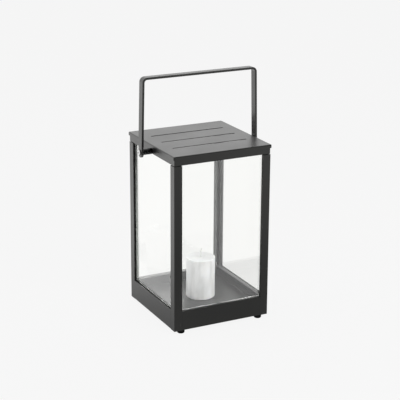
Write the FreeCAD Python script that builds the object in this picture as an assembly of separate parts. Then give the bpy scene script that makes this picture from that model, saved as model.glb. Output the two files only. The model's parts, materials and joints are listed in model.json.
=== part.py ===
import FreeCAD, Part
import math
import os

os.makedirs("parts", exist_ok=True)

# Candle lantern: square post frame, recessed tray, four glass panes, slotted
# lift-off lid and a swinging strap handle on two side stand-offs.
# Millimetres, +Z up, origin on the floor under the middle of the body,
# +X to the right along the front, +Y to the back.

V = FreeCAD.Vector

# ---------------------------------------------------------------- dimensions
BODY = 246.0          # outside of the posts and aprons, square
FOOT_H = 8.5          # rubber foot height
FOOT_D = 18.0
FOOT_X = 102.0        # foot centres
FOOT_Y = 113.6
BASE_BOT = FOOT_H     # underside of the aprons
APRON_TOP = 56.2
APRON_T = 2.5         # apron sheet
APRON_FL = 20.0       # width of the apron's bottom return
POST_W = 20.0         # outside leg of the post section
POST_LEG_T = 2.0      # thickness of the two lips that the panes sit behind
POST_CORE = 12.5      # square core at the outside corner
POST_WALL = 2.5
POST_HOLLOW = 8.0
POST_PLUG = 2.5
POST_TOP = 404.9
SEAM = 1.5            # shadow joint between post and top frame
RAIL_OUT = 122.25     # half of the top frame's outside
RAIL_W = 19.0
RAIL_T = 2.5
RAIL_TOP = 426.9
RAIL_BOT = POST_TOP + SEAM
LID = 250.0
LID_TOP = 428.5
LID_T = 1.5
LID_RIM = 8.0
LID_R = 2.4
SLOT_L = 191.0
SLOT_W = 5.4
SLOT_Y = (-56.9, 2.0, 60.9)
SEAL_T = 4.0          # from the lip to the pane
SEAL_SET = 0.3        # the strip is set back from the lip's end
PANE_LIFT = 0.4       # setting pads under each pane
GLASS_T = 4.0
GLASS_HW = 110.0      # half width of a pane
GLASS_TOP = 422.0
TRAY_T = 1.5
TRAY_LEDGE_Z = 56.0   # top of the tray's flange
TRAY_FLOOR_Z = 33.5   # top of the tray's floor
TRAY_IN = 106.5       # half of the recess
TRAY_OUT = 117.0      # half of the flange
TRAY_NOTCH = 110.2    # the flange's corners are cut back to clear the posts
TRAY_RET = 8.0        # down-turned edge of the flange
CANDLE_D = 69.5
CANDLE_H = 99.6
CANDLE_X = 5.5
PIVOT_Z = 411.6
STRAP_W = 18.0
STRAP_T = 5.2
STRAP_TOP = LID_TOP + 157.4
STRAP_X = 150.6       # outside of the arm at the pivot
STRAP_X_TOP = 146.5   # outside of the arm at the top
STRAP_R = 12.0        # outside radius of the bends
STRAP_STRAIGHT = 10.0 # upright length of the arm above the pivot
STRAP_END = 3.0       # the arm end is rounded about a point this far below the pivot
STANDOFF_D = 14.0
STANDOFF_END = 144.5
PIN_R = 3.0
BUSH_R = 5.0

H = BODY / 2.0


def box(x0, y0, z0, x1, y1, z1):
    return Part.makeBox(x1 - x0, y1 - y0, z1 - z0, V(x0, y0, z0))


def cyl(r, p, d, h):
    return Part.makeCylinder(r, h, V(*p), V(*d))


def mirror_x(s):
    return s.mirror(V(0, 0, 0), V(1, 0, 0))


def mirror_y(s):
    return s.mirror(V(0, 0, 0), V(0, 1, 0))


def turned(s, deg):
    s = s.copy()
    s.rotate(V(0, 0, 0), V(0, 0, 1), deg)
    return s


def edges_where(s, fn):
    return [e for e in s.Edges if fn(e)]


def is_line(e):
    return e.Curve.TypeId == "Part::GeomLine"


def along(e, d):
    if not is_line(e):
        return False
    a, b = e.Vertexes[0].Point, e.Vertexes[-1].Point
    t = b.sub(a)
    if t.Length < 1e-6:
        return False
    t.normalize()
    return abs(abs(t.dot(d)) - 1.0) < 1e-6


def near(v, w, tol=1e-3):
    return abs(v - w) < tol


def save(name, shape):
    solids = shape.Solids
    for i, s in enumerate(solids):
        if not s.isValid() or not s.isClosed() or s.Volume <= 0:
            raise RuntimeError("%s: solid %d is not closed and valid" % (name, i))
    out = solids[0] if len(solids) == 1 else Part.makeCompound(solids)
    out.exportStep("parts/%s.step" % name)
    bb = out.BoundBox
    print("%-24s solids %d  vol %9.1f  x %7.2f %7.2f  y %7.2f %7.2f  z %7.2f %7.2f" % (
        name, len(solids), out.Volume, bb.XMin, bb.XMax, bb.YMin, bb.YMax, bb.ZMin, bb.ZMax))


# --------------------------------------------------------------------- posts
# Extruded section in the front-left corner: a square core with a square bore
# and two thin lips; the panes sit behind the lips, against strips of seal.
def post_section():
    pts = [(-H, -H), (-H + POST_W, -H), (-H + POST_W, -H + POST_LEG_T),
           (-H + POST_CORE, -H + POST_LEG_T), (-H + POST_CORE, -H + POST_CORE),
           (-H + POST_LEG_T, -H + POST_CORE), (-H + POST_LEG_T, -H + POST_W),
           (-H, -H + POST_W)]
    v = [V(x, y, 0) for x, y in pts]
    return Part.Face(Part.makePolygon(v + [v[0]]))


post = post_section().extrude(V(0, 0, POST_TOP - BASE_BOT))
post.translate(V(0, 0, BASE_BOT))
b0 = -H + POST_WALL
# the bore stops short of the bottom end, which is plugged flush
post = post.cut(box(b0, b0, BASE_BOT + POST_PLUG, b0 + POST_HOLLOW, b0 + POST_HOLLOW, POST_TOP + 1))
outer = edges_where(post, lambda e: along(e, V(0, 0, 1)) and near(e.Vertexes[0].X, -H) and near(e.Vertexes[0].Y, -H))
post = post.makeFillet(1.0, outer)
# arrises of the two leg ends
legs = edges_where(post, lambda e: along(e, V(0, 0, 1)) and (
    (near(e.Vertexes[0].X, -H + POST_W) and near(e.Vertexes[0].Y, -H)) or
    (near(e.Vertexes[0].Y, -H + POST_W) and near(e.Vertexes[0].X, -H))))
post = post.makeFillet(0.35, legs)
save("post_front_left", post)
save("post_front_right", mirror_x(post))
save("post_back_left", mirror_y(post))
save("post_back_right", mirror_y(mirror_x(post)))

# -------------------------------------------------------------------- aprons
# Folded sheet between the posts, flush with them, with a bottom return that
# carries the feet.
PX = H - POST_W       # inside end of the post's leg


def apron(full):
    s = box(-PX, -H, BASE_BOT, PX, -H + APRON_T, APRON_TOP)
    fl_x = PX if full else 101.8
    s = s.fuse(box(-fl_x, -H, BASE_BOT, fl_x, -H + APRON_FL, BASE_BOT + APRON_T))
    if full:
        ext = H - POST_CORE - 0.1
        s = s.fuse(box(-ext, -H + POST_LEG_T + 0.1, BASE_BOT, ext, -H + APRON_FL, BASE_BOT + APRON_T))
        for sx in (-1, 1):
            s = s.cut(cyl(2.2, (sx * FOOT_X, -FOOT_Y, BASE_BOT - 1), (0, 0, 1), 6))
    s = s.removeSplitter()
    e = edges_where(s, lambda e: along(e, V(1, 0, 0)) and near(e.Vertexes[0].Y, -H)
                    and near(e.Vertexes[0].Z, BASE_BOT) and e.Length > 150)
    s = s.makeFillet(1.2, e)
    e = edges_where(s, lambda e: along(e, V(1, 0, 0)) and near(e.Vertexes[0].Y, -H)
                    and near(e.Vertexes[0].Z, APRON_TOP) and e.Length > 150)
    s = s.makeFillet(0.9, e)
    return s


a_long = apron(True)
a_side = apron(False)
save("apron_front", a_long)
save("apron_back", mirror_y(a_long))
save("apron_left", turned(a_side, -90))
save("apron_right", turned(a_side, 90))

# ------------------------------------------------------- tray and its bearers
bearer = box(-100, -H + APRON_T, TRAY_LEDGE_Z - TRAY_RET - 2, 100, -110, TRAY_LEDGE_Z - TRAY_RET)
bearer = bearer.fuse(box(-100, -H + APRON_T, 34, 100, -H + APRON_T + 2, TRAY_LEDGE_Z - TRAY_RET)).removeSplitter()
save("tray_bearer_front", bearer)
save("tray_bearer_back", mirror_y(bearer))
save("tray_bearer_left", turned(bearer, -90))
save("tray_bearer_right", turned(bearer, 90))

pan_o = box(-TRAY_IN - TRAY_T, -TRAY_IN - TRAY_T, TRAY_FLOOR_Z - TRAY_T,
            TRAY_IN + TRAY_T, TRAY_IN + TRAY_T, TRAY_LEDGE_Z)
pan_o = pan_o.makeFillet(4.5, edges_where(pan_o, lambda e: along(e, V(0, 0, 1))))
pan_o = pan_o.makeFillet(3.5, edges_where(pan_o, lambda e: all(near(v.Z, TRAY_FLOOR_Z - TRAY_T) for v in e.Vertexes)))
fl = box(-TRAY_OUT, -TRAY_OUT, TRAY_LEDGE_Z - TRAY_T, TRAY_OUT, TRAY_OUT, TRAY_LEDGE_Z)
ret = box(-TRAY_OUT, -TRAY_OUT, TRAY_LEDGE_Z - TRAY_RET, TRAY_OUT, TRAY_OUT, TRAY_LEDGE_Z)
ri = TRAY_OUT - TRAY_T
ret = ret.cut(box(-ri, -ri, TRAY_LEDGE_Z - TRAY_RET - 1, ri, ri, TRAY_LEDGE_Z + 1))
tray = pan_o.fuse(fl).fuse(ret)
for sx in (-1, 1):
    for sy in (-1, 1):
        x0, x1 = sorted((sx * TRAY_NOTCH, sx * 125))
        y0, y1 = sorted((sy * TRAY_NOTCH, sy * 125))
        tray = tray.cut(box(x0, y0, 0, x1, y1, 100))
pan_i = box(-TRAY_IN, -TRAY_IN, TRAY_FLOOR_Z, TRAY_IN, TRAY_IN, TRAY_LEDGE_Z + 5)
pan_i = pan_i.makeFillet(3.0, edges_where(pan_i, lambda e: along(e, V(0, 0, 1))))
pan_i = pan_i.makeFillet(2.0, edges_where(pan_i, lambda e: all(near(v.Z, TRAY_FLOOR_Z) for v in e.Vertexes)))
tray = tray.cut(pan_i).removeSplitter()
lip = edges_where(tray, lambda e: all(near(v.Z, TRAY_LEDGE_Z) for v in e.Vertexes)
                  and all(max(abs(v.X), abs(v.Y)) < TRAY_IN + 0.01 for v in e.Vertexes))
tray = tray.makeFillet(1.2, lip)
save("tray", tray)

# ----------------------------------------------------------------- top frame
# Steel angle: outer web and top flange. Front and back run full length, the
# side rails butt between them.
def rail(front):
    half = RAIL_OUT if front else RAIL_OUT - RAIL_T
    half_fl = RAIL_OUT if front else RAIL_OUT - RAIL_W
    s = box(-half, -RAIL_OUT, RAIL_BOT, half, -RAIL_OUT + RAIL_T, RAIL_TOP)
    s = s.fuse(box(-half_fl, -RAIL_OUT, RAIL_TOP - RAIL_T, half_fl, -RAIL_OUT + RAIL_W, RAIL_TOP)).removeSplitter()
    if front:
        for sx in (-1, 1):
            s = s.cut(cyl(2.2, (sx * 115.2, -115.2, RAIL_TOP - 10), (0, 0, 1), 20))
        e = edges_where(s, lambda e: along(e, V(0, 0, 1)) and near(e.Vertexes[0].Y, -RAIL_OUT))
        s = s.makeFillet(1.0, e)
    else:
        # the web's ends run under the flanges of the front and back rails
        for sx in (-1, 1):
            x0, x1 = sorted((sx * (RAIL_OUT - RAIL_W), sx * (half + 1)))
            s = s.cut(box(x0, -RAIL_OUT - 1, RAIL_TOP - RAIL_T, x1, -RAIL_OUT + RAIL_W + 1, RAIL_TOP + 1))
        s = s.cut(cyl(2.6, (0, -RAIL_OUT - 5, PIVOT_Z), (0, 1, 0), 10))
    return s


r_long = rail(True)
r_side = rail(False)
save("top_rail_front", r_long)
save("top_rail_back", mirror_y(r_long))
save("top_rail_left", turned(r_side, -90))
save("top_rail_right", turned(r_side, 90))

# corner connectors: block inside the top frame's corner, spigot in the post
cb_in = H - POST_CORE + 0.1
cb_out = RAIL_OUT - RAIL_T
sp_in = H - POST_WALL - POST_HOLLOW + 0.1
sp_out = H - POST_WALL - 0.1
conns = []
screws = []
for sx in (-1, 1):
    for sy in (-1, 1):
        c = box(cb_in, cb_in, POST_TOP, cb_out, cb_out, RAIL_TOP - RAIL_T)
        c = c.fuse(box(sp_in, sp_in, POST_TOP - 28, sp_out, sp_out, POST_TOP)).removeSplitter()
        c = c.cut(cyl(1.8, (115.2, 115.2, RAIL_TOP - RAIL_T - 14), (0, 0, 1), 20))
        sc = cyl(1.75, (115.2, 115.2, RAIL_TOP - 14), (0, 0, 1), 14 - 1.3)
        sc = sc.fuse(Part.makeCone(1.75, 2.15, 0.4, V(115.2, 115.2, RAIL_TOP - 1.3), V(0, 0, 1)))
        sc = sc.fuse(cyl(2.15, (115.2, 115.2, RAIL_TOP - 0.9), (0, 0, 1), 0.9)).removeSplitter()
        if sx < 0:
            c, sc = mirror_x(c), mirror_x(sc)
        if sy < 0:
            c, sc = mirror_y(c), mirror_y(sc)
        conns.append(c)
        screws.append(sc)
save("corner_connectors", Part.makeCompound(conns))
save("top_frame_screws", Part.makeCompound(screws))

# ------------------------------------------------------------ glass and seals
g_out = H - POST_LEG_T - SEAL_T
pane = box(-GLASS_HW, -g_out, TRAY_LEDGE_Z + PANE_LIFT, GLASS_HW, -g_out + GLASS_T, GLASS_TOP)
pane = pane.makeChamfer(0.4, pane.Edges)
web_in = RAIL_OUT - RAIL_T
seal = box(PX + SEAL_SET, -g_out - SEAL_T, TRAY_LEDGE_Z, GLASS_HW, -g_out, POST_TOP)
seal = seal.fuse(box(PX + SEAL_SET, -web_in, POST_TOP, GLASS_HW, -g_out, GLASS_TOP))
seal = seal.fuse(box(PX - 14, -g_out + 0.6, TRAY_LEDGE_Z, PX - 2, -g_out + GLASS_T - 0.6, TRAY_LEDGE_Z + PANE_LIFT))
seal = seal.fuse(mirror_x(seal))
seal = seal.fuse(box(-GLASS_HW, -web_in, GLASS_TOP - 3.8, GLASS_HW, -g_out, GLASS_TOP)).removeSplitter()
for name, deg in (("front", 0), ("right", 90), ("back", 180), ("left", -90)):
    save("glass_" + name, turned(pane, deg))
    save("glazing_seal_" + name, turned(seal, deg))

# ---------------------------------------------------------------------- feet
r = FOOT_D / 2
prof = [V(2.1, 0, FOOT_H), V(r - 0.6, 0, FOOT_H), V(r, 0, FOOT_H - 0.6), V(r - 0.2, 0, 2.6)]
arc_mid = V(r - 0.2 - 2.6 * (1 - math.cos(math.radians(45))), 0, 2.6 - 2.6 * math.sin(math.radians(45)))
arc_end = V(r - 2.8, 0, 0)
wires = [Part.makeLine(prof[0], prof[1]), Part.makeLine(prof[1], prof[2]), Part.makeLine(prof[2], prof[3]),
         Part.Arc(prof[3], arc_mid, arc_end).toShape(),
         Part.makeLine(arc_end, V(4.3, 0, 0)), Part.makeLine(V(4.3, 0, 0), V(4.3, 0, 4.0)),
         Part.makeLine(V(4.3, 0, 4.0), V(2.1, 0, 4.0)), Part.makeLine(V(2.1, 0, 4.0), prof[0])]
foot0 = Part.Face(Part.Wire(wires)).revolve(V(0, 0, 0), V(0, 0, 1), 360)
fscrew0 = cyl(2.0, (0, 0, 4.0), (0, 0, 1), 11.2)
head = cyl(3.9, (0, 0, 1.2), (0, 0, 1), 2.8)
head = head.makeFillet(1.0, edges_where(head, lambda e: e.Curve.TypeId == "Part::GeomCircle" and near(e.Vertexes[0].Z, 1.2)))
head = head.cut(box(-0.5, -3.0, 1.0, 0.5, 3.0, 2.6)).cut(box(-3.0, -0.5, 1.0, 3.0, 0.5, 2.6))
fscrew0 = fscrew0.fuse(head).removeSplitter()


def hexnut(af, bore, h):
    rr = af / 2.0 / math.cos(math.radians(30))
    pts = [V(rr * math.cos(math.radians(60 * k)), rr * math.sin(math.radians(60 * k)), 0) for k in range(6)]
    s = Part.Face(Part.makePolygon(pts + [pts[0]])).extrude(V(0, 0, h))
    cone = Part.makeCone(rr + 0.35 * h, rr - 0.25, h, V(0, 0, 0), V(0, 0, 1))
    s = s.common(cone)
    return s.cut(cyl(bore, (0, 0, -1), (0, 0, 1), h + 2))


fnut0 = turned(hexnut(7.0, 2.05, 3.2), 30)
fscrews, fnuts = [], []
for sx, sn in ((-1, "left"), (1, "right")):
    for sy, yn in ((-1, "front"), (1, "back")):
        p = V(sx * FOOT_X, sy * FOOT_Y, 0)
        f = foot0.copy(); f.translate(p)
        save("foot_%s_%s" % (yn, sn), f)
        s = fscrew0.copy(); s.translate(p); fscrews.append(s)
        n = fnut0.copy(); n.translate(p + V(0, 0, BASE_BOT + APRON_T)); fnuts.append(n)
save("foot_screws", Part.makeCompound(fscrews))
save("foot_nuts", Part.makeCompound(fnuts))

# ------------------------------------------------------------- handle pivots
# Right side; the left side is its mirror image.
so = cyl(STANDOFF_D / 2, (RAIL_OUT, 0, PIVOT_Z), (1, 0, 0), STANDOFF_END - RAIL_OUT)
so = so.makeFillet(0.6, edges_where(so, lambda e: e.Curve.TypeId == "Part::GeomCircle" and near(e.Vertexes[0].X, STANDOFF_END)))
so = so.fuse(cyl(2.5, (RAIL_OUT - 5.2, 0, PIVOT_Z), (1, 0, 0), 5.4))
so = so.cut(cyl(PIN_R + 0.05, (STANDOFF_END - 15.5, 0, PIVOT_Z), (1, 0, 0), 20)).removeSplitter()
save("handle_standoff_right", so)
save("handle_standoff_left", mirror_x(so))

nut = hexnut(8.0, 2.55, 2.6)
nut.rotate(V(0, 0, 0), V(0, 0, 1), 30)
nut.rotate(V(0, 0, 0), V(0, 1, 0), -90)
nut.translate(V(RAIL_OUT - RAIL_T, 0, PIVOT_Z))
save("standoff_nuts", Part.makeCompound([nut, mirror_x(nut)]))

tw = cyl(7.2, (STANDOFF_END, 0, PIVOT_Z), (1, 0, 0), 0.7).cut(cyl(3.2, (STANDOFF_END - 1, 0, PIVOT_Z), (1, 0, 0), 4))
save("thrust_washers", Part.makeCompound([tw, mirror_x(tw)]))

WX = STRAP_X + 0.2
w = cyl(6.2, (WX, 0, PIVOT_Z), (1, 0, 0), 1.0).cut(cyl(3.2, (WX - 1, 0, PIVOT_Z), (1, 0, 0), 4))
save("pivot_washers", Part.makeCompound([w, mirror_x(w)]))

hx = WX + 1.0
hk, hd = 3.3, 10.8
hr = ((hd / 2) ** 2 + hk ** 2) / (2 * hk)
dome = Part.makeSphere(hr * 1.0, V(hx + hk - hr, 0, PIVOT_Z))
hd_s = cyl(hd / 2, (hx, 0, PIVOT_Z), (1, 0, 0), hk).common(
    Part.makeSphere(9.0, V(hx + hk - 9.0, 0, PIVOT_Z)))
hd_s = hd_s.makeFillet(0.8, edges_where(hd_s, lambda e: e.Curve.TypeId == "Part::GeomCircle"
                                        and near(e.BoundBox.XLength, 0, 1e-3) and e.BoundBox.XMin > hx + 0.5))
rr = 4.0 / 2 / math.cos(math.radians(30))
hexp = [V(0, rr * math.sin(math.radians(60 * k)), rr * math.cos(math.radians(60 * k))) for k in range(6)]
hexs = Part.Face(Part.makePolygon(hexp + [hexp[0]])).extrude(V(5, 0, 0))
hexs.translate(V(hx + hk - 2.1, 0, PIVOT_Z))
hd_s = hd_s.cut(hexs)
ps = hd_s.fuse(cyl(PIN_R, (hx - 20, 0, PIVOT_Z), (1, 0, 0), 20.2)).removeSplitter()
save("pivot_screws", Part.makeCompound([ps, mirror_x(ps)]))

# -------------------------------------------------------------------- handle
# Flat bar bent to a U: the arms are upright over the pivots and then lean
# inwards a little towards the top bar.
zb = PIVOT_Z - STRAP_END
zs = PIVOT_Z + STRAP_STRAIGHT
oc = [(STRAP_X, zb), (STRAP_X, zs), (STRAP_X_TOP, STRAP_TOP), (-STRAP_X_TOP, STRAP_TOP), (-STRAP_X, zs), (-STRAP_X, zb)]
lean = math.atan2(STRAP_X - STRAP_X_TOP, STRAP_TOP - zs)
dxi = STRAP_T / math.cos(lean)
# inner line: offset by the thickness
xi_b = STRAP_X - STRAP_T
xi_s = STRAP_X - STRAP_T
zi_s = zs + STRAP_T * math.tan(lean / 2) * -1
zi_t = STRAP_TOP - STRAP_T
xi_t = STRAP_X - dxi - (zi_t - zs) * math.tan(lean)
ic = [(xi_b, zb), (xi_s, zi_s), (xi_t, zi_t), (-xi_t, zi_t), (-xi_s, zi_s), (-xi_b, zb)]


def uface(pts):
    v = [V(x, 0, z) for x, z in pts]
    return v


poly = [V(x, 0, z) for x, z in oc] + [V(x, 0, z) for x, z in reversed(ic)]
strap = Part.Face(Part.makePolygon(poly + [poly[0]])).extrude(V(0, STRAP_W, 0))
strap.translate(V(0, -STRAP_W / 2, 0))
e_out = edges_where(strap, lambda e: along(e, V(0, 1, 0)) and near(e.Vertexes[0].Z, STRAP_TOP, 0.01))
e_in = edges_where(strap, lambda e: along(e, V(0, 1, 0)) and near(e.Vertexes[0].Z, zi_t, 0.01))
strap = strap.makeFillet(STRAP_R, e_out)
e_in = edges_where(strap, lambda e: along(e, V(0, 1, 0)) and near(e.Vertexes[0].Z, zi_t, 0.01))
strap = strap.makeFillet(STRAP_R - STRAP_T, e_in)
# rounded arm ends about the pivot, and the pivot holes
for sx in (-1, 1):
    x0, x1 = sorted((sx * (STRAP_X - STRAP_T), sx * STRAP_X))
    strap = strap.fuse(cyl(STRAP_W / 2, (x0, 0, PIVOT_Z - STRAP_END), (1, 0, 0), STRAP_T))
strap = strap.removeSplitter()
strap = strap.cut(cyl(BUSH_R, (-200, 0, PIVOT_Z), (1, 0, 0), 400))
soft = edges_where(strap, lambda e: near(e.BoundBox.YLength, 0, 1e-4) and abs(abs(e.BoundBox.YMin) - STRAP_W / 2) < 1e-3)
try:
    strap = strap.makeFillet(0.3, soft)
except Exception as exc:
    print("strap edges left sharp:", exc)
save("handle_strap", strap)

bush = cyl(BUSH_R, (STRAP_X - STRAP_T, 0, PIVOT_Z), (1, 0, 0), STRAP_T).cut(
    cyl(PIN_R + 0.06, (STRAP_X - STRAP_T - 1, 0, PIVOT_Z), (1, 0, 0), STRAP_T + 2))
save("pivot_bushes", Part.makeCompound([bush, mirror_x(bush)]))

# ----------------------------------------------------------------------- lid
L2 = LID / 2
lid = box(-L2, -L2, LID_TOP - LID_RIM, L2, L2, LID_TOP)
lid = lid.makeFillet(3.2, edges_where(lid, lambda e: along(e, V(0, 0, 1))))
lid = lid.makeFillet(LID_R, edges_where(lid, lambda e: all(near(v.Z, LID_TOP) for v in e.Vertexes)))
li = L2 - LID_T
lid_i = box(-li, -li, LID_TOP - LID_RIM - 5, li, li, LID_TOP - LID_T)
lid_i = lid_i.makeFillet(1.7, edges_where(lid_i, lambda e: along(e, V(0, 0, 1))))
lid_i = lid_i.makeFillet(0.9, edges_where(lid_i, lambda e: all(near(v.Z, LID_TOP - LID_T) for v in e.Vertexes)))
lid = lid.cut(lid_i)
for y in SLOT_Y:
    s = box(-SLOT_L / 2 + SLOT_W / 2, y - SLOT_W / 2, LID_TOP - 10, SLOT_L / 2 - SLOT_W / 2, y + SLOT_W / 2, LID_TOP + 5)
    for sx in (-1, 1):
        s = s.fuse(cyl(SLOT_W / 2, (sx * (SLOT_L / 2 - SLOT_W / 2), y, LID_TOP - 10), (0, 0, 1), 15))
    lid = lid.cut(s)
save("lid", lid)

# -------------------------------------------------------------------- candle
cz = TRAY_FLOOR_Z + 0.1
R = CANDLE_D / 2
ct = cz + CANDLE_H
re = 1.3
pr = [V(0, 0, cz), V(R - 1.2, 0, cz), V(R, 0, cz + 1.2), V(R, 0, ct - re)]
wi = [Part.makeLine(pr[0], pr[1]), Part.makeLine(pr[1], pr[2]), Part.makeLine(pr[2], pr[3]),
      Part.Arc(pr[3], V(R - re * (1 - math.cos(math.radians(45))), 0, ct - re + re * math.sin(math.radians(45))), V(R - re, 0, ct)).toShape(),
      Part.makeLine(V(R - re, 0, ct), V(9.0, 0, ct - 0.6)),
      Part.Arc(V(9.0, 0, ct - 0.6), V(4.6, 0, ct - 1.1), V(0, 0, ct - 1.4)).toShape(),
      Part.makeLine(V(0, 0, ct - 1.4), V(0, 0, cz))]
candle = Part.Face(Part.Wire(wi)).revolve(V(0, 0, 0), V(0, 0, 1), 360)
candle.translate(V(CANDLE_X, 0, 0))
# straight wick channel down the middle of the candle
WICK_R = 1.1
wick_turn = 84.7                 # radius of the wick's lean above the wax
wb = ct + 2.0
disc = Part.Face(Part.Wire([Part.makeCircle(WICK_R, V(CANDLE_X, 0, wb), V(0, 0, 1))]))
upper = disc.revolve(V(CANDLE_X + wick_turn, 0, wb), V(0, 1, 0), 12.5)
lower = cyl(WICK_R, (CANDLE_X, 0, cz + 6), (0, 0, 1), wb - (cz + 6))
wick = lower.fuse(upper).removeSplitter()
candle = candle.cut(cyl(1.15, (CANDLE_X, 0, cz + 5.9), (0, 0, 1), 200))
save("candle", candle)
save("wick", wick)
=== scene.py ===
import json
import math

import bmesh
import bpy
from mathutils import Matrix, Vector

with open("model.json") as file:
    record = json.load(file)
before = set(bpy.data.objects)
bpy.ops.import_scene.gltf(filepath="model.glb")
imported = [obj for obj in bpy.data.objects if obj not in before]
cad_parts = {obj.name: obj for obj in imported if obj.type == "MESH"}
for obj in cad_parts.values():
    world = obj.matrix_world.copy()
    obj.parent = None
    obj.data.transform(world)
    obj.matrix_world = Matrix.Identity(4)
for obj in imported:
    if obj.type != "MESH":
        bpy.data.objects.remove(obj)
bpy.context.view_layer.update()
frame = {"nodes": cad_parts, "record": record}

sc = bpy.context.scene
sc.view_settings.view_transform = "Standard"
sc.view_settings.look = "None"
sc.view_settings.exposure = 0.0
sc.view_settings.gamma = 1.0

MM = 0.001


# ------------------------------------------------------------------- camera
def add_camera():
    yaw, pitch, roll = math.radians(26.87), math.radians(17.86), math.radians(0.30)
    f_px = 1251.4
    cam = bpy.data.cameras.new("camera")
    cam.sensor_fit = "HORIZONTAL"
    cam.sensor_width = 36.0
    cam.lens = f_px / 400.0 * 36.0
    cam.clip_start, cam.clip_end = 0.05, 60.0
    cam.dof.use_dof = False
    ob = bpy.data.objects.new("camera", cam)
    sc.collection.objects.link(ob)
    fwd = Vector((math.sin(yaw) * math.cos(pitch), math.cos(yaw) * math.cos(pitch), -math.sin(pitch)))
    right = Vector((math.cos(yaw), -math.sin(yaw), 0.0))
    down = fwd.cross(right)
    c, s = math.cos(roll), math.sin(roll)
    r2 = c * right - s * down
    d2 = s * right + c * down
    rot = Matrix((r2, -d2, -fwd)).transposed()
    ob.matrix_world = Matrix.Translation(Vector((-1.27347, -2.52085, 1.18625))) @ rot.to_4x4()
    sc.camera = ob


add_camera()


# ---------------------------------------------------------------- materials
def new_mat(name):
    m = bpy.data.materials.new(name)
    m.use_nodes = True
    nt = m.node_tree
    nt.nodes.clear()
    out = nt.nodes.new("ShaderNodeOutputMaterial")
    p = nt.nodes.new("ShaderNodeBsdfPrincipled")
    nt.links.new(p.outputs[0], out.inputs[0])
    return m, nt, p, out


def N(nt, kind, **vals):
    n = nt.nodes.new(kind)
    for k, v in vals.items():
        if k in n.inputs:
            n.inputs[k].default_value = v
        else:
            setattr(n, k, v)
    return n


def coords(nt):
    return nt.nodes.new("ShaderNodeTexCoord").outputs["Object"]


def noise(nt, co, scale, detail=2.0, rough=0.5, dist=0.0):
    n = nt.nodes.new("ShaderNodeTexNoise")
    n.inputs["Scale"].default_value = scale
    n.inputs["Detail"].default_value = detail
    n.inputs["Roughness"].default_value = rough
    n.inputs["Distortion"].default_value = dist
    nt.links.new(co, n.inputs["Vector"])
    return n.outputs["Fac"]


def ramp(nt, fac, stops):
    r = nt.nodes.new("ShaderNodeValToRGB")
    cr = r.color_ramp
    while len(cr.elements) > 1:
        cr.elements.remove(cr.elements[-1])
    cr.elements[0].position = stops[0][0]
    cr.elements[0].color = stops[0][1]
    for pos, col in stops[1:]:
        e = cr.elements.new(pos)
        e.color = col
    nt.links.new(fac, r.inputs["Fac"])
    return r.outputs["Color"]


def maprange(nt, fac, a, b, c, d):
    m = nt.nodes.new("ShaderNodeMapRange")
    for k, v in zip(("From Min", "From Max", "To Min", "To Max"), (a, b, c, d)):
        m.inputs[k].default_value = v
    nt.links.new(fac, m.inputs["Value"])
    return m.outputs["Result"]


def bump(nt, height, strength, distance, prev=None):
    b = nt.nodes.new("ShaderNodeBump")
    b.inputs["Strength"].default_value = strength
    b.inputs["Distance"].default_value = distance
    nt.links.new(height, b.inputs["Height"])
    if prev is not None:
        nt.links.new(prev, b.inputs["Normal"])
    return b.outputs["Normal"]


def grey(v, a=1.0):
    return (v, v, v, a)


def tint(v, r=1.0, g=1.0, b=1.0):
    return (v * r, v * g, v * b, 1.0)


def powder_coat(name, base=0.006, rough=0.33, seed=0.0, ior=1.52, ledge_highlight=None):
    """Satin powder coat: fine orange peel, a faint drift of gloss and tone, and where asked a painted highlight that
    makes the top ledge paler.
    """
    m, nt, p, out = new_mat(name)
    co = coords(nt)
    mp = nt.nodes.new("ShaderNodeMapping")
    mp.inputs["Location"].default_value = (seed, seed * 1.7, seed * 0.6)
    nt.links.new(co, mp.inputs["Vector"])
    co = mp.outputs["Vector"]
    cloud = noise(nt, co, 14.0, 4.0, 0.55)
    grain = noise(nt, co, 900.0, 2.0, 0.6)
    peel = noise(nt, co, 330.0, 1.0, 0.4)
    col = ramp(nt, cloud, [(0.30, tint(base * 0.93, 1.0, 1.0, 0.995)), (0.70, tint(base * 1.07, 1.0, 1.005, 1.0))])
    if ledge_highlight:
        # painted highlight: the top ledge is coloured a touch paler than the rest, standing in for the reflection it
        # catches
        z0, v = ledge_highlight
        geo = nt.nodes.new("ShaderNodeNewGeometry")
        sp = nt.nodes.new("ShaderNodeSeparateXYZ")
        nt.links.new(geo.outputs["Position"], sp.inputs[0])
        mask = maprange(nt, sp.outputs["Z"], z0, z0 + 0.0015, 0.0, 1.0)
        mx = nt.nodes.new("ShaderNodeMix"); mx.data_type = "RGBA"
        nt.links.new(mask, mx.inputs["Factor"])
        nt.links.new(col, mx.inputs[6])
        nt.links.new(ramp(nt, cloud, [(0.3, grey(v * 0.85)), (0.7, grey(v * 1.15))]), mx.inputs[7])
        col = mx.outputs[2]
    nt.links.new(col, p.inputs["Base Color"])
    nt.links.new(maprange(nt, cloud, 0.3, 0.7, rough - 0.025, rough + 0.025), p.inputs["Roughness"])
    n1 = bump(nt, peel, 0.05, 0.0003)
    n2 = bump(nt, grain, 0.05, 0.00012, n1)
    nt.links.new(n2, p.inputs["Normal"])
    p.inputs["IOR"].default_value = ior
    p.inputs["Specular Tint"].default_value = (1.0, 1.0, 0.965, 1.0)
    return m


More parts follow.
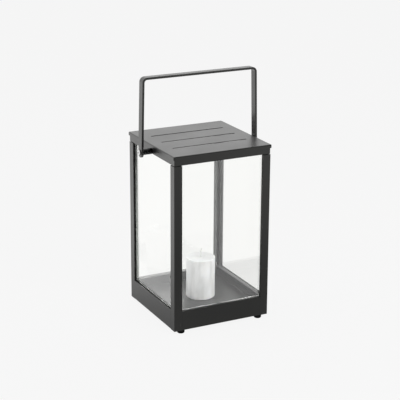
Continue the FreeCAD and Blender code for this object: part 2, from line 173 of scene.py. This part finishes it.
def glass_mat():
    """Clear float glass; lamps and soft light reach through it."""
    m, nt, p, out = new_mat("clear_glass")
    co = coords(nt)
    c = noise(nt, co, 9.0, 3.0, 0.6)
    nt.links.new(ramp(nt, c, [(0.3, (0.991, 0.994, 0.983, 1)), (0.7, (0.998, 1.0, 0.990, 1))]), p.inputs["Base Color"])
    p.inputs["Roughness"].default_value = 0.0
    p.inputs["IOR"].default_value = 1.5
    p.inputs["Transmission Weight"].default_value = 1.0
    lp = nt.nodes.new("ShaderNodeLightPath")
    tr = nt.nodes.new("ShaderNodeBsdfTransparent")
    tr.inputs["Color"].default_value = (0.955, 0.965, 0.96, 1.0)
    mx = nt.nodes.new("ShaderNodeMixShader")
    mth = nt.nodes.new("ShaderNodeMath")
    mth.operation = "MAXIMUM"
    nt.links.new(lp.outputs["Is Shadow Ray"], mth.inputs[0])
    nt.links.new(lp.outputs["Is Diffuse Ray"], mth.inputs[1])
    nt.links.new(mth.outputs[0], mx.inputs["Fac"])
    nt.links.new(p.outputs[0], mx.inputs[1])
    nt.links.new(tr.outputs[0], mx.inputs[2])
    nt.links.new(mx.outputs[0], out.inputs[0])
    return m


def rubber_mat():
    m, nt, p, out = new_mat("black_rubber")
    co = coords(nt)
    f = noise(nt, co, 500.0, 3.0, 0.6)
    c = noise(nt, co, 60.0, 3.0, 0.5)
    black = ramp(nt, c, [(0.3, grey(0.003)), (0.7, grey(0.007))])
    # painted reflection: the strips' faces flat against the panes are coloured pale, standing in for the reflections
    # seen in the panes over them
    faint_pane_reflection = ramp(nt, c, [(0.3, tint(0.12, 1.0, 1.0, 0.98)), (0.7, tint(0.17, 1.0, 1.0, 0.98))])
    strong_pane_reflection = ramp(nt, c, [(0.3, tint(0.50, 1.0, 1.0, 0.98)), (0.7, tint(0.62, 1.0, 1.0, 0.98))])
    geo = nt.nodes.new("ShaderNodeNewGeometry")
    sep = nt.nodes.new("ShaderNodeSeparateXYZ")
    nt.links.new(geo.outputs["Position"], sep.inputs[0])
    # painted reflection: paler still in the back left corner
    left = maprange(nt, sep.outputs["X"], -0.102, -0.098, 1.0, 0.0)
    back = maprange(nt, sep.outputs["Y"], 0.100, 0.104, 0.0, 1.0)
    reflection_corner = nt.nodes.new("ShaderNodeMath"); reflection_corner.operation = "MULTIPLY"
    nt.links.new(left, reflection_corner.inputs[0]); nt.links.new(back, reflection_corner.inputs[1])
    gm = nt.nodes.new("ShaderNodeMix"); gm.data_type = "RGBA"
    nt.links.new(reflection_corner.outputs[0], gm.inputs["Factor"])
    nt.links.new(faint_pane_reflection, gm.inputs[6])
    nt.links.new(strong_pane_reflection, gm.inputs[7])
    pane_reflection = gm.outputs[2]
    mask = None
    for axis in ("X", "Y"):
        ab = nt.nodes.new("ShaderNodeMath"); ab.operation = "ABSOLUTE"
        nt.links.new(sep.outputs[axis], ab.inputs[0])
        cm = nt.nodes.new("ShaderNodeMath"); cm.operation = "COMPARE"
        nt.links.new(ab.outputs[0], cm.inputs[0])
        cm.inputs[1].default_value = 0.117
        cm.inputs[2].default_value = 0.00006
        if mask is None:
            mask = cm.outputs[0]
        else:
            mm = nt.nodes.new("ShaderNodeMath"); mm.operation = "MAXIMUM"
            nt.links.new(mask, mm.inputs[0]); nt.links.new(cm.outputs[0], mm.inputs[1])
            mask = mm.outputs[0]
    mx = nt.nodes.new("ShaderNodeMix"); mx.data_type = "RGBA"
    nt.links.new(mask, mx.inputs["Factor"])
    nt.links.new(black, mx.inputs[6])
    nt.links.new(pane_reflection, mx.inputs[7])
    nt.links.new(mx.outputs[2], p.inputs["Base Color"])
    nt.links.new(maprange(nt, c, 0.3, 0.7, 0.70, 0.85), p.inputs["Roughness"])
    p.inputs["IOR"].default_value = 1.22
    nt.links.new(bump(nt, f, 0.2, 0.0002), p.inputs["Normal"])
    return m


def steel_mat(name, base, rough):
    m, nt, p, out = new_mat(name)
    co = coords(nt)
    mp = nt.nodes.new("ShaderNodeMapping")
    mp.inputs["Scale"].default_value = (1.0, 1.0, 1.0)
    nt.links.new(co, mp.inputs["Vector"])
    f = noise(nt, mp.outputs["Vector"], 700.0, 3.0, 0.6)
    c = noise(nt, mp.outputs["Vector"], 90.0, 2.0, 0.5)
    p.inputs["Metallic"].default_value = 1.0
    nt.links.new(ramp(nt, c, [(0.3, grey(base * 0.94)), (0.7, grey(base))]), p.inputs["Base Color"])
    nt.links.new(maprange(nt, f, 0.3, 0.7, rough - 0.04, rough + 0.05), p.inputs["Roughness"])
    nt.links.new(bump(nt, f, 0.08, 0.0001), p.inputs["Normal"])
    return m


def gloss_black_mat():
    m, nt, p, out = new_mat("gloss_black")
    co = coords(nt)
    f = noise(nt, co, 420.0, 2.0, 0.5)
    nt.links.new(ramp(nt, f, [(0.3, grey(0.002)), (0.7, grey(0.004))]), p.inputs["Base Color"])
    p.inputs["IOR"].default_value = 1.30
    nt.links.new(maprange(nt, f, 0.3, 0.7, 0.14, 0.20), p.inputs["Roughness"])
    nt.links.new(bump(nt, f, 0.05, 0.0002), p.inputs["Normal"])
    return m


def nylon_mat():
    m, nt, p, out = new_mat("black_nylon")
    co = coords(nt)
    f = noise(nt, co, 600.0, 2.0, 0.5)
    nt.links.new(ramp(nt, f, [(0.3, grey(0.010)), (0.7, grey(0.016))]), p.inputs["Base Color"])
    nt.links.new(maprange(nt, f, 0.3, 0.7, 0.42, 0.52), p.inputs["Roughness"])
    nt.links.new(bump(nt, f, 0.1, 0.0001), p.inputs["Normal"])
    return m


def wax_mat():
    """Poured wax: faint upright streaks and cloudy patches, slightly uneven skin."""
    m, nt, p, out = new_mat("white_wax")
    co = coords(nt)
    mp = nt.nodes.new("ShaderNodeMapping")
    mp.inputs["Scale"].default_value = (1.0, 1.0, 0.24)
    nt.links.new(co, mp.inputs["Vector"])
    c = noise(nt, mp.outputs["Vector"], 58.0, 3.0, 0.5, 0.5)
    f = noise(nt, co, 260.0, 3.0, 0.6)
    wax = ramp(nt, c, [(0.34, (0.655, 0.648, 0.648, 1)), (0.5, (0.752, 0.744, 0.749, 1)), (0.66, (0.835, 0.826, 0.835, 1))])
    # painted shade: the upward-facing top face is coloured a little greyer than the sides
    geo = nt.nodes.new("ShaderNodeNewGeometry")
    sp = nt.nodes.new("ShaderNodeSeparateXYZ")
    nt.links.new(geo.outputs["Normal"], sp.inputs[0])
    top_shade = maprange(nt, sp.outputs["Z"], 0.70, 0.95, 0.0, 1.0)
    tm = nt.nodes.new("ShaderNodeMix"); tm.data_type = "RGBA"
    nt.links.new(top_shade, tm.inputs["Factor"])
    nt.links.new(wax, tm.inputs[6])
    nt.links.new(ramp(nt, c, [(0.34, (0.655, 0.650, 0.650, 1)), (0.66, (0.745, 0.740, 0.745, 1))]), tm.inputs[7])
    nt.links.new(tm.outputs[2], p.inputs["Base Color"])
    nt.links.new(maprange(nt, c, 0.3, 0.7, 0.40, 0.54), p.inputs["Roughness"])
    p.inputs["Subsurface Weight"].default_value = 0.6
    p.inputs["Subsurface Radius"].default_value = (1.0, 0.95, 0.88)
    p.inputs["Subsurface Scale"].default_value = 0.012
    n1 = bump(nt, c, 0.30, 0.0030)
    nt.links.new(bump(nt, f, 0.08, 0.0003, n1), p.inputs["Normal"])
    return m


def wick_mat():
    m, nt, p, out = new_mat("cotton_wick")
    co = coords(nt)
    w = nt.nodes.new("ShaderNodeTexWave")
    w.inputs["Scale"].default_value = 260.0
    w.inputs["Distortion"].default_value = 2.0
    w.bands_direction = "Z"
    nt.links.new(co, w.inputs["Vector"])
    nt.links.new(ramp(nt, w.outputs["Fac"], [(0.1, (0.42, 0.41, 0.38, 1)), (0.9, (0.66, 0.65, 0.61, 1))]), p.inputs["Base Color"])
    p.inputs["Roughness"].default_value = 0.75
    nt.links.new(bump(nt, w.outputs["Fac"], 0.4, 0.0003), p.inputs["Normal"])
    return m


MATS = {
    "frame_paint": powder_coat("frame_paint", seed=0.0),
    "lid_paint": powder_coat("lid_paint", seed=3.1),
    # the tray's top ledge gets a painted highlight
    "tray_paint": powder_coat("tray_paint", base=0.012, seed=5.7, ledge_highlight=(0.0540, 0.075)),
    "handle_paint": powder_coat("handle_paint", seed=8.3),
    "gloss_black": gloss_black_mat(),
    "clear_glass": glass_mat(),
    "black_rubber": rubber_mat(),
    "zinc_steel": steel_mat("zinc_steel", 0.55, 0.38),
    "bright_steel": steel_mat("bright_steel", 0.50, 0.16),
    "black_nylon": nylon_mat(),
    "white_wax": wax_mat(),
    "cotton_wick": wick_mat(),
}
SLOT = {s["node"]: s["material_slot"] for s in frame["record"]["subparts"]}
for node, ob in frame["nodes"].items():
    for i in range(max(1, len(ob.material_slots))):
        if not ob.material_slots:
            ob.data.materials.append(MATS[SLOT[node]])
        else:
            ob.material_slots[i].material = MATS[SLOT[node]]


def seen(nt, light, mirror, direct, through):
    """One value for rough reflections, one for sharp mirror images, one seen directly, one seen through glass."""
    lp = nt.nodes.new("ShaderNodeLightPath")

    def pick(fac, a, b):
        mx = nt.nodes.new("ShaderNodeMix")
        mx.data_type = "FLOAT"
        nt.links.new(fac, mx.inputs[0])
        for sock, v in ((mx.inputs[2], a), (mx.inputs[3], b)):
            if isinstance(v, float):
                sock.default_value = v
            else:
                nt.links.new(v, sock)
        return mx.outputs[0]
    v = pick(lp.outputs["Is Singular Ray"], light, mirror)
    v = pick(lp.outputs["Is Transmission Ray"], v, through)
    return pick(lp.outputs["Is Camera Ray"], v, direct)


# --------------------------------------------------------------------- stage
def floor_mat():
    """Pale floor. It is evenly bright; what it gives off as light falls away in front of the object."""
    m = bpy.data.materials.new("studio_floor")
    m.use_nodes = True
    nt = m.node_tree
    nt.nodes.clear()
    out = nt.nodes.new("ShaderNodeOutputMaterial")
    d = nt.nodes.new("ShaderNodeBsdfDiffuse")
    d.inputs["Color"].default_value = (0.02, 0.02, 0.02, 1)
    e = nt.nodes.new("ShaderNodeEmission")
    add = nt.nodes.new("ShaderNodeAddShader")
    geo = nt.nodes.new("ShaderNodeNewGeometry")
    sep = nt.nodes.new("ShaderNodeSeparateXYZ")
    nt.links.new(geo.outputs["Position"], sep.inputs[0])
    # along the diagonal from the front right to the back left
    a = nt.nodes.new("ShaderNodeMath"); a.operation = "MULTIPLY_ADD"
    nt.links.new(sep.outputs["X"], a.inputs[0]); a.inputs[1].default_value = -0.45
    nt.links.new(sep.outputs["Y"], a.inputs[2])
    light = maprange(nt, a.outputs[0], -0.55, 0.25, 0.37, 1.52)
    # less of it close to the object, where the real floor is shaded
    ln = nt.nodes.new("ShaderNodeVectorMath"); ln.operation = "LENGTH"
    nt.links.new(geo.outputs["Position"], ln.inputs[0])
    near = maprange(nt, ln.outputs["Value"], 0.12, 0.75, 0.48, 1.0)
    lm = nt.nodes.new("ShaderNodeMath"); lm.operation = "MULTIPLY"
    nt.links.new(light, lm.inputs[0]); nt.links.new(near, lm.inputs[1])
    light = lm.outputs[0]
    # a little more towards the front right
    fx = maprange(nt, sep.outputs["X"], 0.10, 0.80, 0.0, 0.62)
    fy = maprange(nt, sep.outputs["Y"], -0.75, -0.15, 1.0, 0.25)
    fr = nt.nodes.new("ShaderNodeMath"); fr.operation = "MULTIPLY_ADD"
    nt.links.new(fx, fr.inputs[0]); nt.links.new(fy, fr.inputs[1]); nt.links.new(light, fr.inputs[2])
    light = fr.outputs[0]
    # what the clear panes mirror: brighter in front than behind
    mirror = maprange(nt, sep.outputs["Y"], -0.3, 0.3, 1.85, 1.32)
    nt.links.new(seen(nt, light, mirror, 0.894, 0.883), e.inputs["Strength"])
    nt.links.new(d.outputs[0], add.inputs[0])
    nt.links.new(e.outputs[0], add.inputs[1])
    nt.links.new(add.outputs[0], out.inputs[0])
    return m


def add_floor():
    bm = bmesh.new()
    bmesh.ops.create_circle(bm, cap_ends=True, segments=96, radius=14.0)
    me = bpy.data.meshes.new("floor")
    bm.to_mesh(me)
    bm.free()
    ob = bpy.data.objects.new("floor", me)
    ob.location = (0, 0, -0.0002)
    sc.collection.objects.link(ob)
    me.materials.append(floor_mat())


add_floor()


def add_world():
    w = bpy.data.worlds.new("studio")
    sc.world = w
    w.use_nodes = True
    nt = w.node_tree
    nt.nodes.clear()
    out = nt.nodes.new("ShaderNodeOutputWorld")
    bg = nt.nodes.new("ShaderNodeBackground")
    tc = nt.nodes.new("ShaderNodeTexCoord")
    sep = nt.nodes.new("ShaderNodeSeparateXYZ")
    nt.links.new(tc.outputs["Generated"], sep.inputs[0])
    a = nt.nodes.new("ShaderNodeMath"); a.operation = "MULTIPLY_ADD"
    nt.links.new(sep.outputs["X"], a.inputs[0]); a.inputs[1].default_value = -0.45
    nt.links.new(sep.outputs["Y"], a.inputs[2])
    light = maprange(nt, a.outputs[0], -0.75, 0.45, 0.176, 1.49)
    bg.inputs["Color"].default_value = (1.0, 1.0, 1.0, 1.0)
    mirror = maprange(nt, sep.outputs["Y"], -0.3, 0.3, 1.60, 1.20)
    nt.links.new(seen(nt, light, mirror, 0.921, 0.900), bg.inputs["Strength"])
    nt.links.new(bg.outputs[0], out.inputs[0])


add_world()


def area(name, loc, target, size, power, size_y=None):
    li = bpy.data.lights.new(name, "AREA")
    li.shape = "RECTANGLE"
    li.size = size
    li.size_y = size_y or size
    li.energy = power
    ob = bpy.data.objects.new(name, li)
    ob.location = loc
    d = Vector(target) - Vector(loc)
    ob.rotation_euler = d.to_track_quat("-Z", "Y").to_euler()
    ob.visible_camera = False
    sc.collection.objects.link(ob)
    return ob


area("soft_top", (-0.3, 0.5, 2.2), (0, 0, 0.3), 1.6, 14.0)
area("soft_front", (0.9, -2.1, 1.5), (0, 0, 0.1), 1.6, 74.0).visible_glossy = False
area("soft_left", (-1.7, 0.1, 0.8), (0, 0, 0.1), 1.0, 4.5).visible_glossy = False
